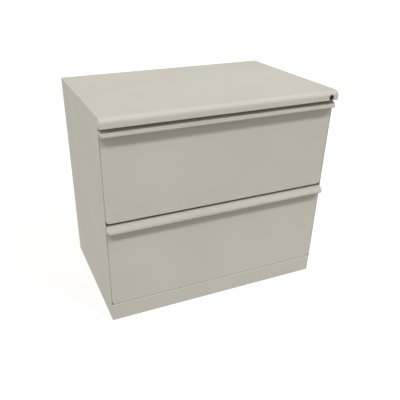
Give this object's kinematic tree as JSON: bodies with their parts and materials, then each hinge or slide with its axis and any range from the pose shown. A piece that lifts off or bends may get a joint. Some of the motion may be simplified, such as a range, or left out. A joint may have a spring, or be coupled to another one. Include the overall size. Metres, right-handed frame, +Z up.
{
  "type": "lateral filing cabinet",
  "caption": "Wide, low steel filing cabinet with stacked full-width drawers on telescopic slides, full-width pulls, a rounded top lip and a lock.",
  "frame": {"origin": "on the floor, under the middle of the outside box", "axes": "+X to the right along the width, +Y to the back, -Y is the front, +Z up"},
  "size_m": [0.762, 0.5096, 0.685],
  "materials": {
    "putty_paint": "satin putty powder coat",
    "pull_paint": "satin putty powder coat, a little warmer",
    "frame_paint": "thin putty coat inside the case",
    "slide_zinc": "bright zinc plate",
    "bright_zinc": "zinc plate",
    "lock_black": "black oxide",
    "bumper_rubber": "matt",
    "weight_iron": "bare casting",
    "glide_steel": "zinc plate"
  },
  "bodies": {
    "cabinet": {"back_panel": "putty_paint", "base_front_rail": "putty_paint", "base_rear_rail": "putty_paint", "bumpers": "bumper_rubber", "case_screws": "bright_zinc", "counterweight": "weight_iron", "floor_panel": "frame_paint", "front_left_upright": "frame_paint", "front_right_upright": "frame_paint", "header_rail": "putty_paint", "left_base_channel": "frame_paint", "left_side_panel": "putty_paint", "lock_bar_guides": "bright_zinc", "lock_housing": "lock_black", "lock_nut": "bright_zinc", "lower_left_cabinet_member": "slide_zinc", "lower_right_cabinet_member": "slide_zinc", "middle_rail": "putty_paint", "rear_left_upright": "frame_paint", "rear_right_upright": "frame_paint", "right_base_channel": "frame_paint", "right_side_panel": "putty_paint", "top_panel": "putty_paint", "upper_left_cabinet_member": "slide_zinc", "upper_right_cabinet_member": "slide_zinc"},
    "upper_drawer": {"upper_drawer_back": "putty_paint", "upper_drawer_bottom": "putty_paint", "upper_drawer_front": "putty_paint", "upper_drawer_left_side": "putty_paint", "upper_drawer_right_side": "putty_paint", "upper_drawer_screws": "bright_zinc", "upper_front_liner": "putty_paint", "upper_hang_rails": "bright_zinc", "upper_left_drawer_member": "slide_zinc", "upper_lock_catch": "bright_zinc", "upper_pull": "pull_paint", "upper_right_drawer_member": "slide_zinc"},
    "lower_drawer": {"lower_drawer_back": "putty_paint", "lower_drawer_bottom": "putty_paint", "lower_drawer_front": "putty_paint", "lower_drawer_left_side": "putty_paint", "lower_drawer_right_side": "putty_paint", "lower_drawer_screws": "bright_zinc", "lower_front_liner": "putty_paint", "lower_hang_rails": "bright_zinc", "lower_left_drawer_member": "slide_zinc", "lower_lock_catch": "bright_zinc", "lower_pull": "pull_paint", "lower_right_drawer_member": "slide_zinc"},
    "upper_left_middle_slide": {"upper_left_middle_member": "slide_zinc"},
    "upper_right_middle_slide": {"upper_right_middle_member": "slide_zinc"},
    "lower_left_middle_slide": {"lower_left_middle_member": "slide_zinc"},
    "lower_right_middle_slide": {"lower_right_middle_member": "slide_zinc"},
    "lock_core": {"lock_plug": "lock_black", "lock_cam": "bright_zinc"},
    "lock_rod": {"lock_bar": "bright_zinc"},
    "front_left_foot": {"front_left_glide": "glide_steel"},
    "front_right_foot": {"front_right_glide": "glide_steel"},
    "rear_left_foot": {"rear_left_glide": "glide_steel"},
    "rear_right_foot": {"rear_right_glide": "glide_steel"}
  },
  "joints": [
    {"name": "upper_drawer_travel", "type": "slide", "parent": "cabinet", "child": "upper_drawer", "axis": [0, -1, 0], "range_m": [0, 0.4]},
    {"name": "upper_left_middle_travel", "type": "slide", "parent": "cabinet", "child": "upper_left_middle_slide", "axis": [0, -1, 0], "range_m": [0, 0.2]},
    {"name": "upper_right_middle_travel", "type": "slide", "parent": "cabinet", "child": "upper_right_middle_slide", "axis": [0, -1, 0], "range_m": [0, 0.2]},
    {"name": "lower_drawer_travel", "type": "slide", "parent": "cabinet", "child": "lower_drawer", "axis": [0, -1, 0], "range_m": [0, 0.4]},
    {"name": "lower_left_middle_travel", "type": "slide", "parent": "cabinet", "child": "lower_left_middle_slide", "axis": [0, -1, 0], "range_m": [0, 0.2]},
    {"name": "lower_right_middle_travel", "type": "slide", "parent": "cabinet", "child": "lower_right_middle_slide", "axis": [0, -1, 0], "range_m": [0, 0.2]},
    {"name": "lock_bar_lift", "type": "slide", "parent": "cabinet", "child": "lock_rod", "axis": [0, 0, 1], "range_m": [0, 0.0099]},
    {"name": "lock_turn", "type": "hinge", "parent": "cabinet", "child": "lock_core", "pos_m": [0.3555, -0.2532, 0.666], "axis": [0, 1, 0], "range_deg": [0, 90]},
    {"name": "front_left_foot_travel", "type": "slide", "parent": "cabinet", "child": "front_left_foot", "axis": [0, 0, -1], "range_m": [0, 0.02]},
    {"name": "front_right_foot_travel", "type": "slide", "parent": "cabinet", "child": "front_right_foot", "axis": [0, 0, -1], "range_m": [0, 0.02]},
    {"name": "rear_left_foot_travel", "type": "slide", "parent": "cabinet", "child": "rear_left_foot", "axis": [0, 0, -1], "range_m": [0, 0.02]},
    {"name": "rear_right_foot_travel", "type": "slide", "parent": "cabinet", "child": "rear_right_foot", "axis": [0, 0, -1], "range_m": [0, 0.02]}
  ],
  "couplings": [
    {"joint": "upper_left_middle_travel", "follows": "upper_drawer_travel", "ratio": 0.5},
    {"joint": "upper_right_middle_travel", "follows": "upper_drawer_travel", "ratio": 0.5},
    {"joint": "lower_left_middle_travel", "follows": "lower_drawer_travel", "ratio": 0.5},
    {"joint": "lower_right_middle_travel", "follows": "lower_drawer_travel", "ratio": 0.5},
    {"joint": "lock_turn", "follows": "lock_bar_lift", "rad_per_m": 158.67}
  ]
}
